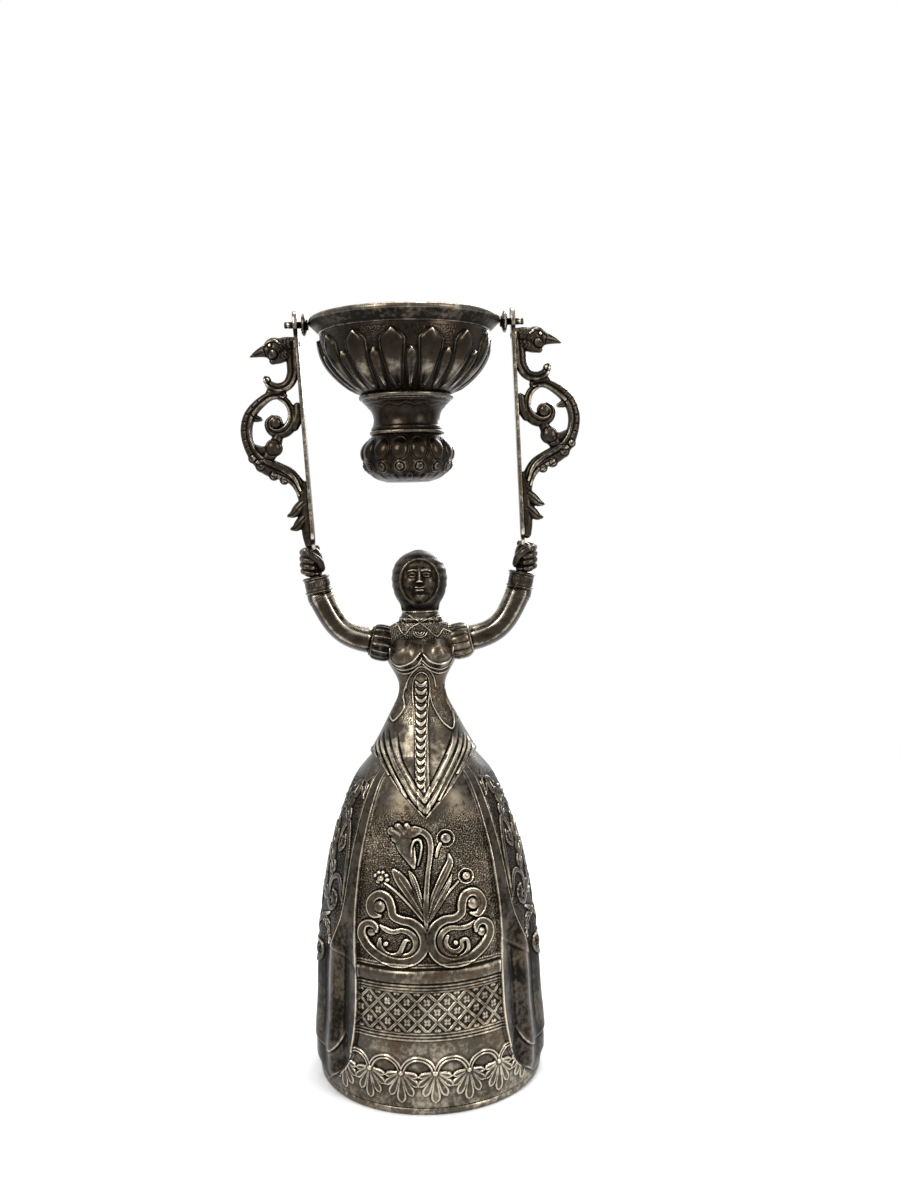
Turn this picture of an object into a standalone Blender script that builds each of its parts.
"""Silver wager cup.

A figure in a long skirt holds a small cup between two raised brackets. The
skirt is the large cup when the piece is turned over. The small cup swings on
two pins. Metres, +Z up, -Y is the front. The piece stands at Z 0, and the
origin is the middle of its width and depth there. Both brackets lean a little
to the left, so the skirt's axis lies beside the origin.
"""
import math

import bmesh
import bpy
import numpy as np
from mathutils import Matrix, Vector

# Clearances
SOLDER_GAP = 0.0003
PIN_CLEARANCE = 0.00008
LAP_CLEARANCE = 0.00045

# Skirt, the large cup
HEM_RADIUS = 0.0371
SKIRT_TOP_RADIUS = 0.0156
SKIRT_HEIGHT = 0.1090
SKIRT_WALL = 0.0011
LIP_HEIGHT = 0.0022
LIP_WIDTH = 0.0019
FRONT_PANEL_HALF_ANGLE = math.radians(37)
OVERSKIRT_STEP = 0.0004
FOLD_DEPTH = 0.0016
FOLD_COUNT = 18
FIRST_FOLD_ANGLE = math.radians(170 / 3)
FOLD_TOP_HEIGHT = 0.0620
FOLD_FADE = 0.0120
FOLD_FOOT_HEIGHT = 0.0035
HEM_SWELL = 0.0005
HEM_SWELL_HEIGHT = 0.0080
HEM_SWELL_TOP_HEIGHT = 0.0300
MOULDING_HEIGHT = 0.0440
MOULDING_RELIEF = 0.0009
MOULDING_HALF_WIDTH = 0.0020
WAIST_DISC_DROP = 0.0050
WAIST_DISC_THICKNESS = 0.0012
WAIST_DISC_DISH = 0.0012
# Share of the skirt's height, and share of the way from the top radius out to the hem radius.
SKIRT_SHAPE = (
    (0.00, 1.000), (0.06, 1.026), (0.22, 1.010), (0.38, 0.974), (0.48, 0.932),
    (0.62, 0.818), (0.76, 0.660), (0.86, 0.492), (0.93, 0.310), (0.975, 0.115), (1.00, 0.000),
)

# Bodice
BODICE_WALL = 0.0012
WAIST_ABOVE_SKIRT = 0.0212
CHEST_ABOVE_WAIST = 0.0098
SHOULDER_ABOVE_CHEST = 0.0065
COLLAR_ABOVE_SHOULDER = 0.0080
WAIST_HALF_WIDTH = 0.0077
WAIST_HALF_DEPTH = 0.0070
CHEST_HALF_WIDTH = 0.0120
CHEST_HALF_DEPTH = 0.0080
SHOULDER_HALF_WIDTH = 0.0132
SHOULDER_HALF_DEPTH = 0.0068
COLLAR_RADIUS = 0.0060
BUST_RELIEF = 0.0042
BUST_OFFSET = 0.0050
BUST_RADIUS = 0.0041
POINT_DROP = 0.0170
POINT_REACH = math.radians(78)
POINT_SHARPNESS = 2.4
POINT_BACK_DROP = 0.0060
POINT_BACK_REACH = math.radians(60)
HIP_DROP = 0.0008
BUSK_HALF_WIDTH = 0.0021
BUSK_RELIEF = 0.0005

# Head
HEAD_HEIGHT = 0.0204
HEAD_HALF_WIDTH = 0.0088
HEAD_HALF_DEPTH = 0.0088
HEAD_TILT = math.radians(12)
HEAD_TILT_HEIGHT = 0.0030
NECK_SPIGOT_LENGTH = 0.0020
NOSE_RISE = 0.0015
BROW_RISE = 0.0004
EYE_SOCKET_DEPTH = 0.0006
LIP_RISE = 0.0006
CHIN_RISE = 0.0010
THROAT_DEPTH = 0.0016

# Sleeves, arms and hands
SLEEVE_RADIUS = 0.0060
SLEEVE_MOUTH_X = 0.0170
SLEEVE_MOUTH_DROP = 0.0012
SLEEVE_ROOT_DEPTH = 0.0030
SLEEVE_PLEATS = 12
ARM_RADIUS = 0.0041
ARM_SEAT_LENGTH = 0.0010
CUFF_RADIUS = 0.0044
CUFF_LENGTH = 0.0056
CUFF_BEAD_RISE = 0.0003
HAND_HALF_WIDTH = 0.0040
HAND_HALF_HEIGHT = 0.0052
FINGER_RELIEF = 0.0004
THUMB_RADIUS = 0.0013
FIST_OUTSET = 0.0007
FIST_DROP = 0.0002
TANG_DEPTH = 0.0045
TANG_WIDTH = 0.0030

# Brackets
FOOT_ABOVE_COLLAR = 0.0235
BRACKET_LENGTH = 0.0715
BRACKET_SPLAY = math.radians(0.6)
BRACKET_LEAN = math.radians(2.3)
STRAP_THICKNESS = 0.0013
STRAP_WIDTH = 0.0046
STRAP_ABOVE_PIVOT = 0.0046
TANG_SHOULDER_HEIGHT = 0.0008
STRAP_SHOULDER_HEIGHT = 0.0020
SCROLL_DEPTH = 0.0044
SCROLL_SEAT_DIFFERENCE = 0.0015

# Small cup
CUP_WALL = 0.0009
RIM_OVERHANG = 0.0032
RIM_ABOVE_PIVOT = 0.0015
RIM_BAND_HEIGHT = 0.0050
BOWL_RADIUS = 0.0281
BOWL_DEPTH = 0.0194
BOWL_LOBES = 14
BOWL_LOBE_RELIEF = 0.0007
CUP_COLLAR_RADIUS = 0.0153
CUP_COLLAR_HEIGHT = 0.0015
CUP_COLLAR_PROUD = 0.0003
CUP_COLLAR_LEDGE = 0.0012
NECK_HEIGHT = 0.0094
NECK_WAIST_RADIUS = 0.0109
NECK_FOOT_RADIUS = 0.0119
NECK_TOP_INSET = 0.0007
NECK_FLARE = 0.0003
NECK_RING_HEIGHT = 0.0011
NECK_RING_PROUD = 0.0004
BULB_RADIUS = 0.0149
BULB_HEIGHT = 0.0153
BULB_LOBES = 14
BULB_LOBE_RELIEF = 0.0007

# Pivots
PIN_RADIUS = 0.0011
TRUNNION_COLLAR_RADIUS = 0.0036
TRUNNION_COLLAR_THICKNESS = 0.0022
COLLAR_SIDE_PLAY = 0.0011
PIN_PROJECTION = 0.0030
PIN_EDGE = 0.0003
BOSS_PROUD = 0.0006

# Roundness of the meshes
SKIRT_SEGMENTS = 54
LIP_STEPS = 40
DISC_STEPS = 18
BODICE_SEGMENTS = 32
CUFF_STEPS = 14
LOBE_SEGMENTS = 3
NECK_STEPS = 22
PIN_STEPS = 16
HAND_SEGMENTS = 12

FRONT = -math.pi / 2
COLLAR_Z = (SKIRT_HEIGHT + WAIST_ABOVE_SKIRT + CHEST_ABOVE_WAIST
            + SHOULDER_ABOVE_CHEST + COLLAR_ABOVE_SHOULDER)
FOOT_Z = COLLAR_Z + FOOT_ABOVE_COLLAR
CUP_RIM_RADIUS = BOWL_RADIUS + RIM_OVERHANG
CUP_COLLAR_BORE = CUP_COLLAR_RADIUS - CUP_WALL - CUP_COLLAR_LEDGE
PIVOT_Z = FOOT_Z + BRACKET_LENGTH
PIVOT_HALF_SPAN = (CUP_RIM_RADIUS + SOLDER_GAP + TRUNNION_COLLAR_THICKNESS
                   + COLLAR_SIDE_PLAY + STRAP_THICKNESS / 2)
FOOT_HALF_SPAN = PIVOT_HALF_SPAN - BRACKET_LENGTH * math.tan(BRACKET_SPLAY)
CUP_SHIFT = -BRACKET_LENGTH * math.tan(BRACKET_LEAN)
RIM_TOP_Z = PIVOT_Z + RIM_ABOVE_PIVOT
BOWL_TOP_Z = RIM_TOP_Z - RIM_BAND_HEIGHT - SOLDER_GAP
BOWL_FOOT_Z = BOWL_TOP_Z - BOWL_DEPTH
NECK_TOP_Z = BOWL_FOOT_Z - SOLDER_GAP - CUP_COLLAR_HEIGHT - SOLDER_GAP
NECK_FOOT_Z = NECK_TOP_Z - NECK_HEIGHT
BULB_TOP_Z = NECK_FOOT_Z - SOLDER_GAP - NECK_RING_HEIGHT - SOLDER_GAP
BULB_FOOT_Z = BULB_TOP_Z - BULB_HEIGHT


def clear_scene():
    for item in list(bpy.data.objects):
        bpy.data.objects.remove(item, do_unlink=True)


def silver(name, colour, roughness):
    """A silver finish for one piece, as a plain metal."""
    material = bpy.data.materials.new(name + "_silver")
    material.use_nodes = True
    shader = material.node_tree.nodes["Principled BSDF"]
    shader.inputs["Base Color"].default_value = (*colour, 1.0)
    shader.inputs["Metallic"].default_value = 1.0
    shader.inputs["Roughness"].default_value = roughness
    return material


AGED = (0.42, 0.38, 0.32)
DARK = (0.27, 0.25, 0.22)
WORN = (0.62, 0.58, 0.52)


def add_object(name, mesh, colour, roughness=0.32):
    mesh.materials.clear()
    mesh.materials.append(silver(name, colour, roughness))
    item = bpy.data.objects.new(name, mesh)
    bpy.context.scene.collection.objects.link(item)
    return item


def smooth_value(table, place):
    """Value at a place on a smooth curve through (place, value) pairs."""
    places = [pair[0] for pair in table]
    values = [pair[1] for pair in table]
    slopes = np.gradient(values, places)
    place = min(max(place, places[0]), places[-1])
    step = min(max(np.searchsorted(places, place) - 1, 0), len(places) - 2)
    length = places[step + 1] - places[step]
    t = (place - places[step]) / length
    start = (1 + 2 * t) * (1 - t) ** 2 * values[step] + t * (1 - t) ** 2 * length * slopes[step]
    end = t * t * (3 - 2 * t) * values[step + 1] + t * t * (t - 1) * length * slopes[step + 1]
    return float(start + end)


def smooth_path(points, count):
    """A smooth run of points through the given ones, any number of values each."""
    points = np.asarray(points, dtype=float)
    places = np.concatenate(([0.0], np.cumsum(np.linalg.norm(np.diff(points[:, :2], axis=0), axis=1))))
    columns = [list(zip(places, points[:, column])) for column in range(points.shape[1])]
    return [
        [smooth_value(column, place) for column in columns]
        for place in np.linspace(0, places[-1], count)
    ]


def ramp(value, low, high):
    """0 below low, 1 above high, and a soft slope between."""
    t = min(max((value - low) / (high - low), 0.0), 1.0)
    return t * t * (3 - 2 * t)


def bump(value, centre, width):
    return math.exp(-((value - centre) / width) ** 2)


def loft(name, rings, closed=False):
    """Skin equal rings of points into a closed solid, capped at both ends unless it closes on itself."""
    mesh = bpy.data.meshes.new(name)
    solid = bmesh.new()
    rows = [[solid.verts.new(point) for point in ring] for ring in rings]
    pairs = list(zip(rows, rows[1:]))
    if closed:
        pairs.append((rows[-1], rows[0]))
    for low, high in pairs:
        for index in range(len(low)):
            after = (index + 1) % len(low)
            solid.faces.new((low[index], low[after], high[after], high[index]))
    if not closed:
        solid.faces.new(rows[0])
        solid.faces.new(rows[-1])
    bmesh.ops.recalc_face_normals(solid, faces=solid.faces)
    solid.to_mesh(mesh)
    solid.free()
    mesh.shade_smooth()
    mesh.set_sharp_from_angle(angle=math.radians(38))
    return mesh


def angles(count):
    """Directions round the axis, starting at the front."""
    return [FRONT + 2 * math.pi * index / count for index in range(count)]


def turned(name, profile, colour, steps, place=(0, 0, 0), turn=None, roughness=0.3):
    """A turned piece: a closed profile of (radius, height) spun about its own Z by a Screw."""
    mesh = bpy.data.meshes.new(name)
    outline = bmesh.new()
    corners = [outline.verts.new((radius, 0, height)) for radius, height in profile]
    on_axis = profile[0][0] == 0 and profile[-1][0] == 0
    for first, second in zip(corners, corners[1:]):
        outline.edges.new((first, second))
    if not on_axis:
        outline.edges.new((corners[-1], corners[0]))
    outline.to_mesh(mesh)
    outline.free()
    item = add_object(name, mesh, colour, roughness)
    screw = item.modifiers.new("turn", "SCREW")
    screw.steps = steps
    screw.render_steps = steps
    screw.use_merge_vertices = True
    screw.merge_threshold = 0.00001
    screw.use_smooth_shade = True
    item.location = place
    if turn is not None:
        item.rotation_euler = turn
    return item


def tube(name, spine, sides, across, facing=0.0):
    """A tapered tube along points of (position, radius), its ends rounded off.

    across is the direction of the section's second axis, and its share of the
    radius is the length of that vector.
    """
    rings = []
    depth = across.length
    flat_axis = across.normalized()
    positions = [Vector(point) for point, _ in spine]
    for index, (point, radius) in enumerate(spine):
        before = positions[max(index - 1, 0)]
        after = positions[min(index + 1, len(positions) - 1)]
        along = (after - before).normalized()
        side = along.cross(flat_axis).normalized()
        other = side.cross(along).normalized()
        rings.append([
            Vector(point) + side * (radius * math.cos(angle)) + other * (radius * depth * math.sin(angle))
            for angle in [facing + 2 * math.pi * step / sides for step in range(sides)]
        ])
    return loft(name, rings)


def rounded(spine, share=0.6):
    """Add a small ring at each end of a spine, so that the tube ends round."""
    first, last = spine[0], spine[-1]
    head = (Vector(first[0]) - Vector(spine[1][0])).normalized() * first[1] * share
    tail = (Vector(last[0]) - Vector(spine[-2][0])).normalized() * last[1] * share
    start = (Vector(first[0]) + head, first[1] * 0.5)
    end = (Vector(last[0]) + tail, last[1] * 0.5)
    return [start] + list(spine) + [end]


def ball(name, centre, radii, segments=10, rings=6):
    mesh = bpy.data.meshes.new(name)
    solid = bmesh.new()
    bmesh.ops.create_uvsphere(solid, u_segments=segments, v_segments=rings, radius=1.0)
    solid.transform(Matrix.Translation(centre) @ Matrix.Diagonal((*radii, 1.0)))
    solid.to_mesh(mesh)
    solid.free()
    mesh.shade_smooth()
    return mesh


def block(name, low, high):
    mesh = bpy.data.meshes.new(name)
    solid = bmesh.new()
    bmesh.ops.create_cube(solid, size=1.0)
    size = Vector(high) - Vector(low)
    middle = (Vector(high) + Vector(low)) / 2
    solid.transform(Matrix.Translation(middle) @ Matrix.Diagonal((*size, 1.0)))
    solid.to_mesh(mesh)
    solid.free()
    return mesh


def guide(name, mesh):
    """An object that only cuts or joins: it isn't part of the cup."""
    item = bpy.data.objects.new(name, mesh)
    bpy.context.scene.collection.objects.link(item)
    item.display_type = "WIRE"
    item.hide_render = True
    return item


def combine(item, others, operation):
    """Join or cut an object with guide objects, through a Boolean on their collection."""
    group = bpy.data.collections.new(item.name + "_" + operation.lower())
    bpy.context.scene.collection.children.link(group)
    for other in others:
        for holder in list(other.users_collection):
            holder.objects.unlink(other)
        group.objects.link(other)
    joint = item.modifiers.new(operation.lower(), "BOOLEAN")
    joint.operation = operation
    joint.operand_type = "COLLECTION"
    joint.collection = group
    joint.solver = "EXACT"
    return joint


def skirt_radius(z):
    """Outside radius of the plain skirt at a height."""
    share = smooth_value(SKIRT_SHAPE, z / SKIRT_HEIGHT)
    return SKIRT_TOP_RADIUS + (HEM_RADIUS - SKIRT_TOP_RADIUS) * share


def skirt_relief(angle, z):
    """How far the overskirt, its hanging folds and the front moulding stand out from the plain skirt."""
    from_front = abs(math.remainder(angle - FRONT, 2 * math.pi))
    over = ramp(from_front, FRONT_PANEL_HALF_ANGLE, FRONT_PANEL_HALF_ANGLE + math.radians(6))
    share = z / SKIRT_HEIGHT
    step = OVERSKIRT_STEP * over * (1 - ramp(share, 0.70, 0.82))
    rise = ramp(z, FOLD_FOOT_HEIGHT, HEM_SWELL_HEIGHT)
    hang = rise * (1 - ramp(z, FOLD_TOP_HEIGHT - FOLD_FADE, FOLD_TOP_HEIGHT))
    fold = FOLD_DEPTH / 2 * over * hang * math.cos(FOLD_COUNT * (from_front - FIRST_FOLD_ANGLE))
    swell = HEM_SWELL * over * rise * (1 - ramp(z, HEM_SWELL_HEIGHT, HEM_SWELL_TOP_HEIGHT))
    across = (z - MOULDING_HEIGHT) / MOULDING_HALF_WIDTH
    moulding = MOULDING_RELIEF * (1 - over) * max(0.0, 1 - across * across) ** 0.5
    return step + fold + swell + moulding


def skirt_ring(z, offset=0.0, relief=1.0, count=SKIRT_SEGMENTS):
    ring = []
    for angle in angles(count):
        radius = skirt_radius(z) + offset + relief * skirt_relief(angle, z)
        ring.append(Vector((radius * math.cos(angle), radius * math.sin(angle), z)))
    return ring


def make_skirt():
    """The raised skirt, open at the hem: folds and moulding outside, a plain cup inside."""
    bottom = LIP_HEIGHT + SOLDER_GAP
    hem = [bottom] + [SKIRT_HEIGHT * share for share in (0.06, 0.11, 0.21)]
    moulding = [MOULDING_HEIGHT + MOULDING_HALF_WIDTH * share for share in (-1.1, -0.5, 0.5, 1.1)]
    rest = SKIRT_HEIGHT - moulding[-1]
    upper = [moulding[-1] + rest * share for share in (0.14, 0.27, 0.42, 0.57, 0.71, 0.82, 0.91, 1.0)]
    outside = [skirt_ring(z) for z in hem + moulding + upper]
    inside_heights = [SKIRT_HEIGHT * share for share in (1.0, 0.93, 0.82, 0.56)] + [bottom]
    inside = [skirt_ring(z, -SKIRT_WALL, 0.0) for z in inside_heights]
    add_object("skirt_shell", loft("skirt_shell", outside + inside, closed=True), AGED, 0.34)


def make_lip():
    """The hem wire: a flat foot below, rounded outside, flush with the wall inside."""
    outer = HEM_RADIUS + 0.25 * LIP_WIDTH
    inner = HEM_RADIUS - LIP_WIDTH
    round_off = 0.30 * LIP_WIDTH
    profile = [
        (inner, LIP_HEIGHT), (outer - round_off, LIP_HEIGHT), (outer, LIP_HEIGHT * 0.5),
        (outer - round_off, 0.0), (inner, 0.0),
    ]
    turned("skirt_lip", profile, WORN, steps=LIP_STEPS)


def make_waist_disc():
    """A shallow dished plate that closes the large cup, seated inside the top of the skirt."""
    top = SKIRT_HEIGHT - WAIST_DISC_DROP
    bottom = top - WAIST_DISC_THICKNESS
    edge_gap = SOLDER_GAP + SKIRT_WALL
    high_radius = skirt_radius(top) - edge_gap
    low_radius = skirt_radius(bottom) - edge_gap
    dish = WAIST_DISC_DISH
    profile = [
        (0.0, top + dish), (high_radius * 0.6, top + dish * 0.7), (high_radius, top),
        (low_radius, bottom), (low_radius * 0.6, bottom + dish * 0.7), (0.0, bottom + dish),
    ]
    turned("waist_disc", profile, DARK, steps=DISC_STEPS)


WAIST_Z = SKIRT_HEIGHT + WAIST_ABOVE_SKIRT
CHEST_Z = WAIST_Z + CHEST_ABOVE_WAIST
SHOULDER_Z = CHEST_Z + SHOULDER_ABOVE_CHEST


def torso_half_sizes(z):
    """Half width and half depth of the torso at a height, from the hips up to the collar."""
    hip = SKIRT_TOP_RADIUS + SOLDER_GAP + BODICE_WALL
    flank_z = SKIRT_HEIGHT + 0.42 * WAIST_ABOVE_SKIRT
    flank_width = 0.48 * hip + 0.52 * WAIST_HALF_WIDTH
    flank_depth = 0.48 * hip + 0.52 * WAIST_HALF_DEPTH
    slope_z = SHOULDER_Z + 0.38 * COLLAR_ABOVE_SHOULDER
    slope_width = 0.66 * SHOULDER_HALF_WIDTH + 0.34 * COLLAR_RADIUS
    nape_z = SHOULDER_Z + 0.68 * COLLAR_ABOVE_SHOULDER
    nape_width = 0.17 * SHOULDER_HALF_WIDTH + 0.83 * COLLAR_RADIUS
    widths = [
        (SKIRT_HEIGHT, hip), (flank_z, flank_width), (WAIST_Z, WAIST_HALF_WIDTH),
        (CHEST_Z, CHEST_HALF_WIDTH), (SHOULDER_Z, SHOULDER_HALF_WIDTH),
        (slope_z, slope_width), (nape_z, nape_width), (COLLAR_Z, COLLAR_RADIUS),
    ]
    depths = [
        (SKIRT_HEIGHT, hip), (flank_z, flank_depth), (WAIST_Z, WAIST_HALF_DEPTH),
        (CHEST_Z, CHEST_HALF_DEPTH), (SHOULDER_Z, SHOULDER_HALF_DEPTH),
        (nape_z, COLLAR_RADIUS), (COLLAR_Z, COLLAR_RADIUS),
    ]
    return smooth_value(widths, z), smooth_value(depths, z)


def bust_relief(x, z, facing):
    """The rounded bust: two swells side by side on the front of the chest."""
    height = CHEST_Z + 0.25 * BUST_RADIUS
    swell = 0.0
    for side in (-1, 1):
        across = (x - side * BUST_OFFSET) / BUST_RADIUS
        up = (z - height) / (1.1 * BUST_RADIUS)
        swell += math.exp(-(across * across + up * up) ** 1.5)
    return BUST_RELIEF * swell * facing


def column_angle(column, radius):
    """Direction of one column of the bodice: the first two each side keep to the busk's edges."""
    steps = abs(column)
    edges = (0.0, BUSK_HALF_WIDTH, BUSK_HALF_WIDTH + BUSK_RELIEF)
    if steps < len(edges):
        turn = math.asin(edges[steps] / radius)
    else:
        last_edge = math.asin(edges[-1] / radius)
        turn = last_edge + (math.pi - last_edge) * (steps - 2) / (BODICE_SEGMENTS / 2 - 2)
    return FRONT + math.copysign(turn, column)


def on_busk(column, z):
    """Relief of the raised strip down the middle of the front, from under the bust to near the point."""
    low = SKIRT_HEIGHT - 0.84 * POINT_DROP
    high = WAIST_Z + 0.42 * CHEST_ABOVE_WAIST
    along = ramp(z, low, low + BUSK_HALF_WIDTH) * (1 - ramp(z, high, high + BUSK_HALF_WIDTH))
    return BUSK_RELIEF * along if abs(column) < 2 else 0.0


def bodice_point(column, z, inset=0.0, relief=1.0):
    """A point on the bodice's outside, or inset from it: it lies over the skirt below the hips."""
    if z < SKIRT_HEIGHT:
        radius = skirt_radius(z) + SOLDER_GAP + BODICE_WALL - inset
        angle = column_angle(column, radius)
        radius += relief * on_busk(column, z)
        return Vector((radius * math.cos(angle), radius * math.sin(angle), z))
    half_width, half_depth = torso_half_sizes(z)
    angle = column_angle(column, half_width)
    x = (half_width - inset) * math.cos(angle)
    y = (half_depth - inset) * math.sin(angle) - relief * on_busk(column, z)
    facing = max(0.0, -math.sin(angle)) ** 0.5
    if z > WAIST_Z:
        y -= relief * bust_relief(x, z, facing)
    return Vector((x, y, z))


def bodice_edge(column):
    """Height of the bodice's lower edge: a long point in front, level hips and a dip at the back."""
    tip_radius = skirt_radius(SKIRT_HEIGHT - POINT_DROP)
    from_front = abs(column_angle(column, tip_radius) - FRONT)
    front = POINT_DROP * max(0.0, 1 - from_front / POINT_REACH) ** POINT_SHARPNESS
    back = POINT_BACK_DROP * max(0.0, 1 - (math.pi - from_front) / POINT_BACK_REACH)
    return SKIRT_HEIGHT - HIP_DROP - front - back


# Where the bodice's rings lie: shares of the part that laps over the skirt, and of the torso above it.
LAP_SHARES = (0.0, 0.22, 0.42, 0.61, 0.80, 1.0)
TORSO_SHARES = (0.07, 0.20, 0.34, 0.46, 0.54, 0.60, 0.66, 0.72, 0.78, 0.84, 0.895, 0.945, 1.0)
TORSO_INNER_SHARES = (0.14, 0.37, 0.60, 0.84, 0.945, 1.0)
BODICE_COLUMNS = range(1 - BODICE_SEGMENTS // 2, BODICE_SEGMENTS // 2 + 1)


def lap_rings(inset, relief):
    """Rings of the part that lies over the skirt, from the pointed edge up to the top of the skirt."""
    just_below = SKIRT_HEIGHT - 0.0000001
    rings = []
    for share in LAP_SHARES:
        ring = []
        for column in BODICE_COLUMNS:
            low = bodice_edge(column)
            z = min(low + (SKIRT_HEIGHT - low) * share, just_below)
            ring.append(bodice_point(column, z, inset, relief))
        rings.append(ring)
    return rings


def torso_rings(shares, inset, relief):
    return [
        [bodice_point(column, SKIRT_HEIGHT + (COLLAR_Z - SKIRT_HEIGHT) * share, inset, relief)
         for column in BODICE_COLUMNS]
        for share in shares
    ]


def make_bodice():
    outside = lap_rings(0.0, 1.0) + torso_rings(TORSO_SHARES, 0.0, 1.0)
    inside = lap_rings(BODICE_WALL + SOLDER_GAP - LAP_CLEARANCE, 0.0) + torso_rings(TORSO_INNER_SHARES, BODICE_WALL, 0.0)
    inside.reverse()
    add_object("bodice", loft("bodice", outside + inside, closed=True), AGED, 0.32)


def torso_guide(name):
    """The torso with the solder gap round it, to cut the sleeves where they meet it."""
    return guide(name, loft(name, torso_rings(TORSO_SHARES[3:], -SOLDER_GAP, 1.0)))


def head_point(angle, share):
    """A point on the head before it is tilted: an egg in a close hood with a calm, regular face."""
    from_front = abs(math.remainder(angle - FRONT, 2 * math.pi))
    outline = ((0.0, 0.70), (0.12, 0.75), (0.30, 0.92), (0.50, 1.0), (0.66, 0.97), (0.82, 0.80),
               (0.93, 0.52), (1.0, 0.16))
    scale = smooth_value(outline, share)
    x = HEAD_HALF_WIDTH * scale * math.cos(angle)
    y = HEAD_HALF_DEPTH * scale * math.sin(angle)
    front = bump(from_front, 0.0, 0.55)
    nose = NOSE_RISE * bump(from_front, 0.0, 0.16) * bump(share, 0.42, 0.085)
    brow = BROW_RISE * bump(from_front, 0.0, 0.6) * bump(share, 0.58, 0.05)
    sockets = EYE_SOCKET_DEPTH * bump(from_front, 0.36, 0.17) * bump(share, 0.51, 0.05)
    lips = LIP_RISE * bump(from_front, 0.0, 0.24) * bump(share, 0.29, 0.035)
    chin = CHIN_RISE * front * bump(share, 0.185, 0.06)
    throat = THROAT_DEPTH * front * bump(share, 0.04, 0.07)
    y -= nose + brow + lips + chin - sockets - throat
    return Vector((x, y, HEAD_HEIGHT * share))


# Columns of the head, in degrees from the front to each side: close over the face, wide round the hood.
FACE_TURNS = (0, 8, 17, 27, 39, 54, 74, 100, 127, 154)


def make_head():
    """The head and the neck, which plugs into the collar."""
    shares = [0.0, 0.06, 0.12, 0.185, 0.24, 0.29, 0.35, 0.42, 0.50, 0.58, 0.68, 0.79, 0.89, 0.96, 1.0]
    turns = [math.radians(turn) for turn in FACE_TURNS]
    columns = [FRONT + turn for turn in turns] + [FRONT + math.pi]
    columns += [FRONT - turn for turn in reversed(turns[1:])]
    base = Vector((0, 0, COLLAR_Z + SOLDER_GAP))
    spigot_radius = COLLAR_RADIUS - BODICE_WALL - SOLDER_GAP
    spigot_foot = COLLAR_Z - NECK_SPIGOT_LENGTH
    rings = [
        [Vector((spigot_radius * math.cos(angle), spigot_radius * math.sin(angle), z)) for angle in columns]
        for z in (spigot_foot, base.z)
    ]
    for share in shares:
        tilt = Matrix.Rotation(-HEAD_TILT * ramp(share, 0.0, 0.35), 4, "X")
        ring = []
        for angle in columns:
            point = head_point(angle, share)
            lifted = Vector((point.x, point.y, point.z - HEAD_TILT_HEIGHT))
            ring.append(base + tilt @ lifted + Vector((0, 0, HEAD_TILT_HEIGHT)))
        rings.append(ring)
    add_object("head", loft("head", rings), AGED, 0.36)


def side_frame(side):
    """Foot, up direction and outward direction of one bracket. side is -1 for the viewer's left."""
    foot = Vector((side * FOOT_HALF_SPAN, 0, FOOT_Z))
    pivot = Vector((side * PIVOT_HALF_SPAN + CUP_SHIFT, 0, PIVOT_Z))
    up = (pivot - foot).normalized()
    outward = Vector((side * up.z, 0, -side * up.x))
    return foot, up, outward


def wrist(side):
    """Centre of the cuff's upper face and the direction of the forearm there."""
    foot, _, _ = side_frame(side)
    along = Vector((side * 0.19, 0, 0.98)).normalized()
    hand_centre = foot + Vector((side * FIST_OUTSET, 0, -HAND_HALF_HEIGHT - FIST_DROP))
    top = hand_centre - along * (HAND_HALF_HEIGHT + SOLDER_GAP)
    return hand_centre, top, along


def arm_path(side, count):
    """The bent arm from the sleeve's mouth to the cuff's underside, straight for a moment at both ends."""
    _, cuff_top, along = wrist(side)
    end = cuff_top - along * (CUFF_LENGTH + SOLDER_GAP)
    mouth, out = sleeve_mouth(side)
    start = mouth + out * SOLDER_GAP
    low = start + out * ARM_SEAT_LENGTH
    high = end - along * ARM_SEAT_LENGTH
    reach = (high - low).length * 0.44
    first = low + out * reach
    second = high - Vector((side * 0.42, 0, 0.91)).normalized() * reach
    path = [start]
    for step in range(count):
        t = step / (count - 1)
        point = (low * (1 - t) ** 3 + first * 3 * t * (1 - t) ** 2
                 + second * 3 * t * t * (1 - t) + high * t ** 3)
        path.append(point)
    path.append(end)
    return path


def sleeve_mouth(side):
    """Centre of the sleeve's open end and the direction that it faces."""
    centre = Vector((side * SLEEVE_MOUTH_X, 0, SHOULDER_Z - SLEEVE_MOUTH_DROP))
    out = Vector((side, 0, 0.22)).normalized()
    return centre, out


def make_sleeve(side, name):
    """A short puff with pleats along it, cut where it meets the torso."""
    mouth, out = sleeve_mouth(side)
    depth_axis = Vector((0, 1, 0))
    rise = out.cross(depth_axis).normalized()
    length = SLEEVE_MOUTH_X - CHEST_HALF_WIDTH + SLEEVE_ROOT_DEPTH
    count = SLEEVE_PLEATS * 2
    rings = []
    sections = ((1.0, 0.80, 0.3), (0.80, 0.98, 0.8), (0.5, 1.05, 1.0), (0.2, 1.0, 1.0), (0.0, 0.82, 0.4))
    for share, swell, pleat in sections:
        centre = mouth - out * (length * (1 - share))
        ring = []
        for step in range(count):
            angle = 2 * math.pi * step / count
            ripple = 1 - 0.07 * pleat * (step % 2)
            radius = SLEEVE_RADIUS * swell * ripple
            offset = depth_axis * 0.9 * math.cos(angle) + rise * math.sin(angle)
            ring.append(centre + offset * radius)
        rings.append(ring)
    item = add_object(name, loft(name, rings), AGED, 0.34)
    combine(item, [torso_guide(name + "_torso")], "DIFFERENCE")


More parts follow.
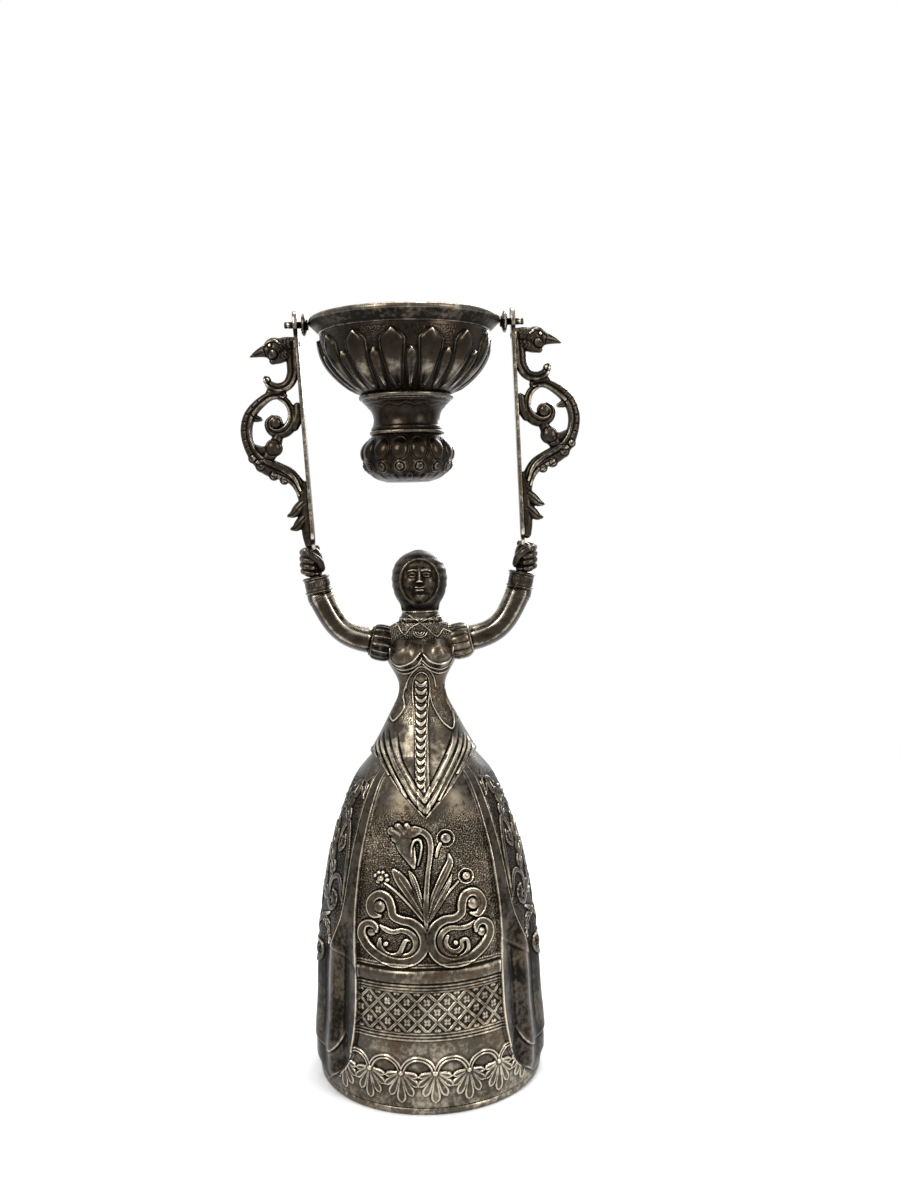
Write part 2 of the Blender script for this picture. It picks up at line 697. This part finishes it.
def make_arm(side, name):
    """The bent arm, a little slimmer at the elbow than at its ends."""
    path = arm_path(side, 9)
    last = len(path) - 1
    radii = [ARM_RADIUS * (1.0 - 0.05 * math.sin(math.pi * step / last)) for step in range(len(path))]
    spine = list(zip(path, radii))
    add_object(name, tube(name, spine, 10, Vector((0, 1, 0))), DARK, 0.3)


def make_cuff(side, name):
    """A banded cuff: a plain band between two beads."""
    _, top, along = wrist(side)
    half = CUFF_LENGTH / 2
    centre = top - along * half
    bead = CUFF_BEAD_RISE
    profile = [
        (0.0, half), (CUFF_RADIUS - bead, half), (CUFF_RADIUS + bead, half * 0.80),
        (CUFF_RADIUS - bead, half * 0.56), (CUFF_RADIUS - bead, -half * 0.56),
        (CUFF_RADIUS + bead, -half * 0.80), (CUFF_RADIUS - bead, -half), (0.0, -half),
    ]
    turn = Vector((0, 0, 1)).rotation_difference(along).to_euler()
    turned(name, profile, DARK, steps=CUFF_STEPS, place=centre, turn=turn)


def fist_ring(side, centre, share, ridge):
    """One level of the fist: knuckles ridge the outer half, the back of the hand is smooth."""
    height = HAND_HALF_HEIGHT * (2 * share - 1)
    swell = (1 - abs(2 * share - 1) ** 3.2) ** 0.5
    ring = []
    for step in range(HAND_SEGMENTS):
        angle = 2 * math.pi * step / HAND_SEGMENTS
        outer = ramp(math.cos(angle), -0.45, 0.15)
        radius = HAND_HALF_WIDTH * (0.30 + 0.70 * swell) + FINGER_RELIEF * ridge * outer
        offset = Vector((side * radius * math.cos(angle), -radius * 0.96 * math.sin(angle), height))
        ring.append(centre + offset)
    return ring


def make_hand(side, name):
    """A fist closed round the bracket's foot: four fingers outside and the thumb across the front."""
    centre, _, _ = wrist(side)
    rings = []
    levels = ((0.0, 0.0), (0.07, 0.4), (0.15, 1.0), (0.26, -0.6), (0.38, 1.0), (0.49, -0.6),
              (0.60, 1.0), (0.71, -0.6), (0.82, 1.0), (0.94, 0.3), (1.0, 0.0))
    for share, ridge in levels:
        rings.append(fist_ring(side, centre, share, ridge))
    fist = add_object(name, loft(name, rings), DARK)
    thumb = []
    for turn, height in ((2.6, -0.35), (2.0, 0.10), (1.4, 0.46), (0.8, 0.70)):
        reach = HAND_HALF_WIDTH * 0.90
        point = centre + Vector((side * math.cos(turn), -math.sin(turn), 0)) * reach
        thumb.append((point + Vector((0, 0, height * HAND_HALF_HEIGHT)), THUMB_RADIUS))
    joined = guide(name + "_thumb", tube(name + "_thumb", rounded(thumb), 6, Vector((0, 0, 1))))
    combine(fist, [joined], "UNION")
    slot = tang_guide(name + "_slot", side, SOLDER_GAP)
    combine(fist, [slot], "DIFFERENCE")


def tang_guide(name, side, gap):
    """The room that the strap's tang takes in the fist."""
    half_thickness = STRAP_THICKNESS / 2 + gap
    half_width = TANG_WIDTH / 2 + gap
    low = Vector((-half_thickness, -half_width, -TANG_DEPTH - gap))
    high = Vector((half_thickness, half_width, HAND_HALF_HEIGHT))
    item = guide(name, block(name, low, high))
    item.matrix_world = bracket_matrix(side)
    return item


def bracket_matrix(side):
    """Frame of a bracket: X outward from the strap, Z up along it, its origin at the strap's foot."""
    foot, up, outward = side_frame(side)
    depth = up.cross(outward)
    frame = Matrix((outward, depth, up)).transposed().to_4x4()
    return Matrix.Translation(foot) @ frame


def make_strap(side, name):
    """A flat bar with a round eye at the pivot, a round top and a narrower tang at the foot."""
    half = STRAP_WIDTH / 2
    eye = half * 1.25
    outline = [(-TANG_WIDTH / 2, -TANG_DEPTH), (-TANG_WIDTH / 2, TANG_SHOULDER_HEIGHT)]
    outline += [(-half, STRAP_SHOULDER_HEIGHT), (-half, BRACKET_LENGTH - eye * 1.5)]
    steps = 12
    for step in range(steps + 1):
        angle = math.radians(215) - math.radians(250) * step / steps
        stretch = STRAP_ABOVE_PIVOT / eye if math.sin(angle) > 0 else 1.0
        outline.append((eye * math.cos(angle), BRACKET_LENGTH + eye * stretch * math.sin(angle)))
    outline += [(half, BRACKET_LENGTH - eye * 1.5), (half, STRAP_SHOULDER_HEIGHT)]
    outline += [(TANG_WIDTH / 2, TANG_SHOULDER_HEIGHT), (TANG_WIDTH / 2, -TANG_DEPTH)]
    rings = [
        [Vector((offset, y, z)) for y, z in outline]
        for offset in (-STRAP_THICKNESS / 2, STRAP_THICKNESS / 2)
    ]
    item = add_object(name, loft(name, rings), WORN, 0.28)
    item.matrix_world = bracket_matrix(side)
    drill = bpy.data.meshes.new(name + "_drill")
    cutter = bmesh.new()
    length = STRAP_THICKNESS * 6
    bmesh.ops.create_cone(cutter, cap_ends=True, segments=PIN_STEPS, radius1=PIN_RADIUS + PIN_CLEARANCE,
                          radius2=PIN_RADIUS + PIN_CLEARANCE, depth=length)
    cutter.transform(Matrix.Rotation(math.pi / 2, 4, "Y"))
    cutter.to_mesh(drill)
    cutter.free()
    hole = guide(name + "_hole", drill)
    hole.location = (side * PIVOT_HALF_SPAN + CUP_SHIFT, 0, PIVOT_Z)
    combine(item, [hole], "DIFFERENCE")


# The scroll is drawn on a grid, with this many squares from the strap's foot to its pivot.
# Each branch is a run of (out from the strap's face, up from the foot, thickness radius).
SCROLL_GRID_COUNT = 71.5
SCROLL_BRANCHES = {
    "crest": ((5.2, 50.0, 1.4), (8.6, 50.3, 1.5), (13.3, 47.8, 1.8), (16.9, 43.8, 2.0),
              (18.2, 39.2, 2.0), (17.7, 34.8, 2.0), (15.6, 30.4, 2.3), (11.9, 27.0, 2.9), (8.3, 25.4, 2.7),
              (5.0, 23.7, 2.4), (2.6, 20.6, 2.1), (1.3, 15.8, 1.9), (0.9, 12.0, 1.8)),
    "spiral": ((6.8, 49.5, 1.2), (4.5, 47.6, 1.3), (3.4, 45.0, 1.5), (3.1, 41.8, 1.9), (4.6, 39.0, 2.1),
               (7.7, 37.8, 1.8), (10.4, 39.1, 1.4), (10.9, 41.5, 1.2), (9.4, 43.0, 1.0)),
    "bridge": ((0.9, 46.2, 1.3), (1.1, 42.6, 1.8), (2.6, 39.8, 1.8)),
    "stem": ((1.0, 66.8, 1.9), (1.3, 60.5, 2.0), (1.6, 56.4, 2.0), (3.7, 53.2, 1.8), (6.8, 52.5, 1.7),
             (9.2, 53.6, 1.5), (10.4, 55.9, 0.9)),
    "web": ((4.2, 52.6, 1.4), (7.0, 51.2, 1.7), (9.4, 51.2, 1.5)),
    "neck": ((0.7, 66.3, 2.4), (3.6, 66.2, 2.6), (6.4, 65.0, 3.0)),
    "beak": ((8.4, 64.7, 2.5), (11.2, 64.2, 1.5), (13.4, 63.8, 0.9), (14.8, 63.2, 0.3)),
    "chin": ((3.4, 63.4, 2.4), (5.8, 62.2, 2.0), (7.6, 61.4, 1.3)),
    "bud": ((16.6, 45.0, 1.3), (14.8, 43.2, 1.3), (13.3, 42.8, 0.8)),
    "shank": ((0.9, 20.0, 1.8), (0.9, 14.0, 2.0), (0.9, 8.0, 2.0), (0.9, 3.6, 1.9), (0.8, 0.9, 1.5)),
    "leaf": ((1.2, 14.4, 2.0), (3.3, 12.7, 1.9), (5.4, 11.0, 1.3), (6.8, 10.6, 0.6)),
    "lower_leaf": ((1.1, 9.8, 2.0), (3.0, 8.0, 1.9), (4.9, 6.5, 1.3), (6.1, 6.2, 0.6)),
    "bead_post": ((7.6, 37.8, 1.6), (9.6, 33.4, 2.2), (12.4, 29.4, 2.2)),
    "bead_brace": ((9.8, 33.4, 1.6), (13.0, 32.4, 1.6), (16.4, 33.4, 1.6)),
}
SCROLL_BALLS = {"eye": (8.3, 41.4, 2.3), "bead": (9.7, 33.2, 2.9), "crown": (6.9, 65.0, 3.5)}


def scroll_unit():
    """Size of one square of the scroll's grid."""
    return BRACKET_LENGTH / SCROLL_GRID_COUNT


def scroll_point(out, up):
    """A point of the drawing in the bracket's frame, measured out from the strap's outer face."""
    unit = scroll_unit()
    return Vector((STRAP_THICKNESS / 2 + out * unit, 0, up * unit))


def make_scroll(side, name):
    """The cast openwork scroll: branches and beads joined into one piece, flat where it is soldered on."""
    unit = scroll_unit()
    across = Vector((0, SCROLL_DEPTH / (2 * 2.5 * unit), 0))
    frame = bracket_matrix(side) @ Matrix.Translation((0, 0, side * SCROLL_SEAT_DIFFERENCE / 2))
    body = None
    joined = []
    for branch, points in SCROLL_BRANCHES.items():
        count = len(points) + 3 if len(points) > 6 else len(points)
        run = smooth_path(points, count)
        spine = [(scroll_point(out, up), radius * unit) for out, up, radius in run]
        mesh = tube(name + "_" + branch, spine, 6, across)
        if body is None:
            body = add_object(name, mesh, DARK, 0.3)
            body.matrix_world = frame
        else:
            item = guide(name + "_" + branch, mesh)
            item.matrix_world = frame
            joined.append(item)
    for bead, (out, up, radius) in SCROLL_BALLS.items():
        centre = scroll_point(out, up)
        size = radius * unit
        depth = min(size, SCROLL_DEPTH / 2)
        item = guide(name + "_" + bead, ball(name + "_" + bead, centre, (size, depth, size), 8, 6))
        item.matrix_world = frame
        joined.append(item)
    combine(body, joined, "UNION")
    room = STRAP_THICKNESS / 2 + SOLDER_GAP
    low = Vector((-room * 8, -STRAP_WIDTH * 2, -BRACKET_LENGTH * 0.1))
    high = Vector((room, STRAP_WIDTH * 2, BRACKET_LENGTH * 1.2))
    face = guide(name + "_strap_face", block(name + "_strap_face", low, high))
    face.matrix_world = frame
    combine(body, [face], "DIFFERENCE")


def make_cup_rim():
    """Moulded rim: rounded lip, hollow throat and a fine bead where it meets the bowl."""
    foot = RIM_TOP_Z - RIM_BAND_HEIGHT
    outer = CUP_RIM_RADIUS
    inner = BOWL_RADIUS - CUP_WALL
    lip = 0.37 * RIM_OVERHANG
    height = RIM_BAND_HEIGHT
    profile = [
        (inner + lip, foot + 0.88 * height), (outer - lip, RIM_TOP_Z), (outer, foot + 0.86 * height),
        (outer, foot + 0.56 * height), (outer - 0.52 * RIM_OVERHANG, foot + 0.34 * height),
        (BOWL_RADIUS + 0.30 * RIM_OVERHANG, foot + 0.12 * height), (BOWL_RADIUS, foot), (inner, foot),
    ]
    steps = BOWL_LOBES * LOBE_SEGMENTS
    turned("cup_rim", profile, WORN, steps, place=(CUP_SHIFT, 0, 0), roughness=0.26)


def bowl_radius(share):
    """Plain outside radius of the bowl, from its foot at 0 to its top at 1."""
    return CUP_COLLAR_RADIUS + (BOWL_RADIUS - CUP_COLLAR_RADIUS) * (1 - (1 - share) ** 2.6)


def lobed_ring(radius, relief, z, lobes):
    """A ring with grooves between its lobes: relief is how far the lobes stand out from the grooves."""
    ring = []
    for step, angle in enumerate(angles(lobes * LOBE_SEGMENTS)):
        local = radius + (relief if step % LOBE_SEGMENTS else 0.0)
        ring.append(Vector((CUP_SHIFT + local * math.cos(angle), local * math.sin(angle), z)))
    return ring


def make_bowl():
    """Lobed bowl: the lobes rise out of the foot and end in points under the rim."""
    outside = []
    for share in (0.0, 0.07, 0.19, 0.36, 0.56, 0.76, 0.89, 1.0):
        relief = BOWL_LOBE_RELIEF * ramp(share, 0.02, 0.25) * (1 - ramp(share, 0.72, 0.90))
        z = BOWL_FOOT_Z + BOWL_DEPTH * share
        outside.append(lobed_ring(bowl_radius(share) - BOWL_LOBE_RELIEF * 0.5, relief, z, BOWL_LOBES))
    inside = []
    for share in (1.0, 0.50, 0.15):
        z = BOWL_FOOT_Z + BOWL_DEPTH * share
        inner = bowl_radius(share) - CUP_WALL - BOWL_LOBE_RELIEF * 0.5
        inside.append(lobed_ring(inner, 0.0, z, BOWL_LOBES))
    inside.append(lobed_ring(CUP_COLLAR_BORE, 0.0, BOWL_FOOT_Z, BOWL_LOBES))
    add_object("cup_bowl", loft("cup_bowl", outside + inside, closed=True), AGED, 0.3)


def neck_radius(share):
    """Outside radius of the waisted neck, from its foot at 0 to its top at 1."""
    top = CUP_COLLAR_RADIUS - NECK_TOP_INSET
    waist = NECK_WAIST_RADIUS
    table = ((0.0, NECK_FOOT_RADIUS), (0.16, waist + NECK_FLARE), (0.38, waist),
             (0.62, waist + 2 * NECK_FLARE), (0.84, (waist + top) / 2 + NECK_FLARE), (1.0, top))
    return smooth_value(table, share)


def make_neck():
    """The waisted neck, a plain tube with a wide top."""
    def at(share, inset):
        return neck_radius(share) - inset, NECK_FOOT_Z + NECK_HEIGHT * share

    outside = [at(share, 0.0) for share in (1.0, 0.84, 0.62, 0.38, 0.14, 0.0)]
    bore = [at(share, CUP_WALL) for share in (0.0, 0.38, 1.0)]
    turned("cup_neck", outside + bore, AGED, steps=NECK_STEPS, place=(CUP_SHIFT, 0, 0))


def make_ring(name, radius, height, bottom, bore):
    """A half-round ring soldered round a joint of the small cup."""
    edge = height * 0.45
    profile = [
        (bore, bottom + height), (radius - edge, bottom + height), (radius, bottom + height * 0.5),
        (radius - edge, bottom), (bore, bottom),
    ]
    turned(name, profile, WORN, steps=NECK_STEPS, place=(CUP_SHIFT, 0, 0))


def bulb_radius(share):
    """Plain outside radius of the bulb, from its flat foot at 0 to its top at 1."""
    table = ((0.0, 0.50), (0.05, 0.66), (0.16, 0.84), (0.34, 0.965), (0.55, 1.0), (0.74, 0.965),
             (0.90, 0.87), (1.0, 0.80))
    return BULB_RADIUS * smooth_value(table, share)


def make_bulb():
    """Lobed bulb, closed below: the bottom of the small cup."""
    outside = []
    for share in (0.0, 0.07, 0.20, 0.38, 0.47, 0.60, 0.80, 1.0):
        relief = BULB_LOBE_RELIEF * ramp(share, 0.0, 0.16) * (1 - ramp(share, 0.84, 1.0))
        if share == 0.47:
            relief *= 0.3
        z = BULB_FOOT_Z + BULB_HEIGHT * share
        outside.append(lobed_ring(bulb_radius(share) - BULB_LOBE_RELIEF * 0.5, relief, z, BULB_LOBES))
    inside = []
    for share in (1.0, 0.70, 0.36, 0.12):
        z = BULB_FOOT_Z + BULB_HEIGHT * share
        inner = bulb_radius(share) - CUP_WALL - BULB_LOBE_RELIEF * 0.5
        inside.append(lobed_ring(inner, 0.0, z, BULB_LOBES))
    add_object("cup_bulb", loft("cup_bulb", outside + inside), AGED, 0.3)


def make_trunnion(side, name):
    """A pin with a lens-shaped collar, fixed to the rim, that turns in the strap's hole."""
    root = CUP_RIM_RADIUS + SOLDER_GAP
    thickness = TRUNNION_COLLAR_THICKNESS
    end = PIVOT_HALF_SPAN + STRAP_THICKNESS / 2 + PIN_PROJECTION
    boss = PIN_RADIUS + BOSS_PROUD
    profile = [
        (0.0, end), (PIN_RADIUS * 0.8, end), (PIN_RADIUS, end - PIN_EDGE), (PIN_RADIUS, root + thickness),
        (boss, root + thickness), (TRUNNION_COLLAR_RADIUS, root + thickness * 0.68),
        (TRUNNION_COLLAR_RADIUS, root + thickness * 0.45), (boss, root + thickness * 0.12),
        (boss, root), (0.0, root),
    ]
    turned(name, profile, DARK, steps=PIN_STEPS, place=(CUP_SHIFT, 0, PIVOT_Z),
           turn=(0, side * math.pi / 2, 0))


def build_figure():
    make_skirt()
    make_lip()
    make_waist_disc()
    make_bodice()
    make_head()
    for side, word in ((-1, "left"), (1, "right")):
        make_sleeve(side, word + "_sleeve")
        make_arm(side, word + "_arm")
        make_cuff(side, word + "_cuff")
        make_hand(side, word + "_hand")
        make_strap(side, word + "_strap")
        make_scroll(side, word + "_scroll")


def build_small_cup():
    """The small cup is modelled about its own upright axis and hung on an empty that lies on the pins."""
    make_cup_rim()
    make_bowl()
    make_neck()
    collar_radius = CUP_COLLAR_RADIUS + CUP_COLLAR_PROUD
    make_ring("cup_collar", collar_radius, CUP_COLLAR_HEIGHT, NECK_TOP_Z + SOLDER_GAP, CUP_COLLAR_BORE)
    ring_radius = NECK_FOOT_RADIUS + NECK_RING_PROUD
    ring_bore = NECK_FOOT_RADIUS - CUP_WALL
    make_ring("cup_neck_ring", ring_radius, NECK_RING_HEIGHT, BULB_TOP_Z + SOLDER_GAP, ring_bore)
    make_bulb()
    make_trunnion(-1, "left_trunnion")
    make_trunnion(1, "right_trunnion")
    hanger = bpy.data.objects.new("cup_pivot", None)
    bpy.context.scene.collection.objects.link(hanger)
    hanger.location = (CUP_SHIFT, 0, PIVOT_Z)
    bpy.context.view_layer.update()
    names = ("cup_rim", "cup_bowl", "cup_neck", "cup_collar", "cup_neck_ring", "cup_bulb",
             "left_trunnion", "right_trunnion")
    for name in names:
        item = bpy.data.objects[name]
        item.parent = hanger
        item.matrix_parent_inverse = hanger.matrix_world.inverted()


def centre_on_origin():
    """Slide everything sideways until the outermost bends of the two scrolls are as far from the origin."""
    reach = []
    for word in ("left", "right"):
        scroll = bpy.data.objects[word + "_scroll"]
        reach += [(scroll.matrix_world @ vertex.co).x for vertex in scroll.data.vertices]
    shift = -(min(reach) + max(reach)) / 2
    for item in bpy.data.objects:
        if item.parent is None:
            item.matrix_world = Matrix.Translation((shift, 0, 0)) @ item.matrix_world
    bpy.context.view_layer.update()
    print("skirt axis at X %.3f mm, pivots at X %.3f mm, Z %.3f mm"
          % (shift * 1000, (shift + CUP_SHIFT) * 1000, PIVOT_Z * 1000))


clear_scene()
build_figure()
build_small_cup()
centre_on_origin()
